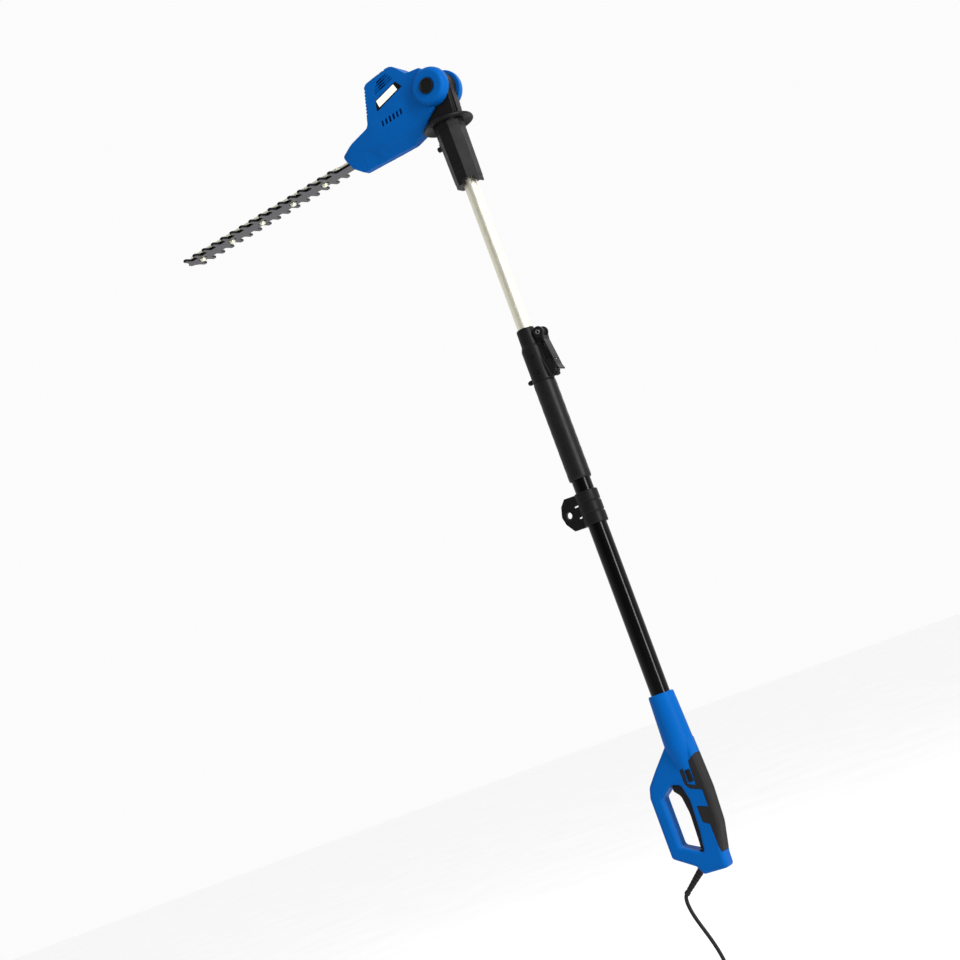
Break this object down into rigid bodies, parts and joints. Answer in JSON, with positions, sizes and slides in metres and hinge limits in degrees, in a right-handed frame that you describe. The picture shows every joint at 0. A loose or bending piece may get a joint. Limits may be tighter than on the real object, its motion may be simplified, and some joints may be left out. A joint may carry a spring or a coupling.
{
  "type": "pole hedge trimmer",
  "caption": "Corded telescopic pole hedge trimmer: tilting motor head with a double-sided blade, foam front grip and a D-shaped rear handle with trigger.",
  "frame": {"origin": "centre of the front foam grip, on the pole's axis", "axes": "+Z along the pole towards the cutting head, -X the way the blade points at rest, +Y the far side of the tool"},
  "size_m": [0.7186, 0.097, 1.9443],
  "materials": {
    "blue_casing": "satin, fine grain",
    "black_plastic": "satin",
    "name_plate": "smooth, blank",
    "soft_black": "matt",
    "cord_rubber": "satin",
    "foam": "open foam",
    "black_tube": "gloss coated aluminium",
    "aluminium": "satin anodised",
    "nylon": "matt",
    "blade_steel": "ground",
    "bright_steel": "zinc plated",
    "screw_steel": "zinc plated",
    "rotor_metal": "bare"
  },
  "bodies": {
    "base": {"rear_handle_shell_near": "blue_casing", "rear_handle_shell_far": "blue_casing", "rear_grip_overmould": "soft_black", "handle_screw_1": "screw_steel", "handle_screw_2": "screw_steel", "handle_screw_3": "screw_steel", "handle_screw_4": "screw_steel", "handle_screw_5": "screw_steel", "trigger_pin": "screw_steel", "switch_body": "black_plastic", "cord_clamp": "nylon", "cord_gland": "soft_black", "power_cord": "cord_rubber", "mains_plug": "cord_rubber", "lower_tube": "black_tube", "front_foam_grip": "foam", "clamp_collar": "black_plastic", "clamp_pin": "bright_steel", "clamp_screw_1": "screw_steel", "clamp_screw_2": "screw_steel", "clamp_side_screw": "black_plastic", "internal_coiled_lead": "cord_rubber"},
    "trigger": {"trigger": "black_plastic"},
    "lock_off": {"lock_off_button": "black_plastic"},
    "strap": {"strap_bracket": "black_plastic", "strap_bracket_screw": "screw_steel"},
    "lever": {"clamp_lever": "black_plastic"},
    "extension": {"upper_tube": "aluminium", "tube_guide_bush": "nylon", "coupler_shell_near": "black_plastic", "coupler_shell_far": "black_plastic", "coupler_screw_1": "screw_steel", "coupler_screw_2": "screw_steel", "coupler_screw_3": "screw_steel"},
    "tilt_button": {"tilt_release_button": "black_plastic"},
    "head": {"head_shell_near": "blue_casing", "head_shell_far": "blue_casing", "head_screw_1": "screw_steel", "head_screw_2": "screw_steel", "head_screw_3": "screw_steel", "head_screw_4": "screw_steel", "name_plate_near": "name_plate", "name_plate_far": "name_plate", "pivot_bolt": "screw_steel", "pivot_cap_near": "black_plastic", "pivot_cap_far": "black_plastic", "motor_can": "screw_steel", "gear_plate": "aluminium", "guide_bar": "bright_steel", "blade_bolt_1": "bright_steel", "blade_bolt_2": "bright_steel", "blade_bolt_3": "bright_steel", "blade_bolt_4": "bright_steel", "blade_bolt_5": "bright_steel", "bar_screw_1": "screw_steel", "bar_screw_2": "screw_steel"},
    "motor": {"motor_rotor": "rotor_metal"},
    "gear": {"drive_gear": "screw_steel"},
    "upper_blade": {"blade_upper": "blade_steel"},
    "lower_blade": {"blade_lower": "blade_steel"}
  },
  "joints": [
    {"name": "tube_extension", "type": "slide", "parent": "base", "child": "extension", "axis": [0, 0, 1], "range_m": [-0.28, 0.27], "deforming": ["internal_coiled_lead"]},
    {"name": "head_tilt", "type": "hinge", "parent": "extension", "child": "head", "pos_m": [0.0046, 0, 0.684], "axis": [0, 1, 0], "range_deg": [0, 145]},
    {"name": "trigger_pull", "type": "hinge", "parent": "base", "child": "trigger", "pos_m": [-0.0235, 0, -0.775], "axis": [0, 1, 0], "range_deg": [0, 5], "stiffness_Nm_per_rad": 2, "springref_deg": -6.88},
    {"name": "lock_off_press", "type": "slide", "parent": "base", "child": "lock_off", "axis": [0, 1, 0], "range_m": [0, 0.003], "stiffness_N_per_m": 400, "springref_m": -0.003},
    {"name": "strap_bracket_slide", "type": "slide", "parent": "base", "child": "strap", "axis": [0, 0, 1], "range_m": [-0.3, 0.02]},
    {"name": "clamp_lever_open", "type": "hinge", "parent": "base", "child": "lever", "pos_m": [0.028, 0, 0.1805], "axis": [0, -1, 0], "range_deg": [0, 110]},
    {"name": "tilt_release_press", "type": "slide", "parent": "extension", "child": "tilt_button", "axis": [1, 0, 0], "range_m": [0, 0.0035], "stiffness_N_per_m": 400, "springref_m": -0.003},
    {"name": "gear_spin", "type": "hinge", "parent": "head", "child": "gear", "pos_m": [-0.122, 0, 0.684], "axis": [0, 0, 1], "continuous": true},
    {"name": "motor_spin", "type": "hinge", "parent": "head", "child": "motor", "pos_m": [-0.092, 0, 0.684], "axis": [0, 0, 1], "continuous": true},
    {"name": "upper_blade_stroke", "type": "slide", "parent": "head", "child": "upper_blade", "axis": [1, 0, 0], "range_m": [-0.0065, 0.0065]},
    {"name": "lower_blade_stroke", "type": "slide", "parent": "head", "child": "lower_blade", "axis": [1, 0, 0], "range_m": [-0.0065, 0.0065]}
  ],
  "couplings": [
    {"joint": "motor_spin", "follows": "gear_spin", "ratio": -3},
    {"joint": "lower_blade_stroke", "follows": "upper_blade_stroke", "ratio": -1}
  ]
}
